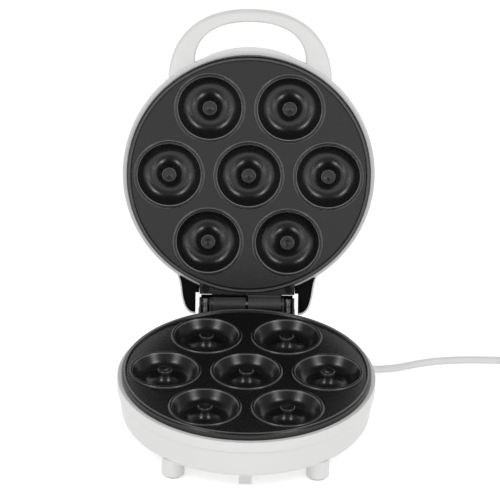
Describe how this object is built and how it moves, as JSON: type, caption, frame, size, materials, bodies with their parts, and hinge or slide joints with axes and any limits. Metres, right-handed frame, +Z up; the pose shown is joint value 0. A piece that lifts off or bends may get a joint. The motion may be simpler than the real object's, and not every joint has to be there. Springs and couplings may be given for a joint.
{
  "type": "donut maker",
  "caption": "Tabletop electric donut maker, lid open, with cast ring-mould plates in a round base and a hinged round lid with a loop handle.",
  "frame": {"origin": "middle of the donut maker's own bounding box, lid open, on the table under its feet", "axes": "+Z up, front towards -Y, the hinge at the back towards +Y, +X to the right seen from the front"},
  "size_m": [0.4316, 0.2838, 0.2904],
  "materials": {
    "white_plastic": "smooth moulded plastic, soft gloss",
    "cord_rubber": "white flexible PVC, satin",
    "clamp_plastic": "plain moulded plastic",
    "nonstick_plate": "cast aluminium with a black non-stick coating, satin",
    "black_plastic": "black plastic, satin",
    "steel": "plain steel",
    "dark_screws": "blackened steel",
    "pan_sheet": "rolled sheet",
    "nickel": "nickel-plated brass",
    "ceramic": "cream ceramic or heat-proof plastic",
    "foot_rubber": "grey rubber",
    "red_lens": "clear red plastic",
    "green_lens": "clear green plastic",
    "lamp_glass": "small neon lamp"
  },
  "bodies": {
    "base": {"base_shell": "white_plastic", "bottom_cover": "white_plastic", "front_left_pad": "foot_rubber", "front_right_pad": "foot_rubber", "rear_right_pad": "foot_rubber", "rear_left_pad": "foot_rubber", "lower_plate": "nonstick_plate", "lower_element": "steel", "lower_pan": "pan_sheet", "plate_screws": "steel", "thermostat": "ceramic", "thermal_fuse": "ceramic", "fuse_clip": "steel", "terminal_block": "ceramic", "inner_lead": "cord_rubber", "cord_clamp": "clamp_plastic", "clamp_screws": "steel", "strain_relief": "cord_rubber", "power_cord": "cord_rubber", "cord_coil": "cord_rubber", "cord_tie": "black_plastic", "cord_tail": "cord_rubber", "plug_body": "cord_rubber", "plug_pins": "nickel", "plug_earth_clips": "nickel", "hinge_bracket": "black_plastic", "hinge_bracket_screws": "steel", "hinge_pin": "steel", "left_lead_sleeve": "steel", "right_lead_sleeve": "steel"},
    "lid": {"lid_shell": "white_plastic", "left_ear_insert": "black_plastic", "right_ear_insert": "black_plastic", "handle": "white_plastic", "handle_screws": "steel", "upper_plate": "nonstick_plate", "upper_element": "steel", "upper_pan": "pan_sheet", "pan_screws": "steel", "tab_screws": "dark_screws", "power_lens": "red_lens", "ready_lens": "green_lens", "power_lamp": "lamp_glass", "ready_lamp": "lamp_glass", "lamp_holder": "black_plastic"}
  },
  "joints": [
    {"name": "lid_hinge", "type": "hinge", "parent": "base", "child": "lid", "pos_m": [0, 0.06957, 0.0547], "axis": [1, 0, 0], "range_deg": [0, 103]}
  ]
}
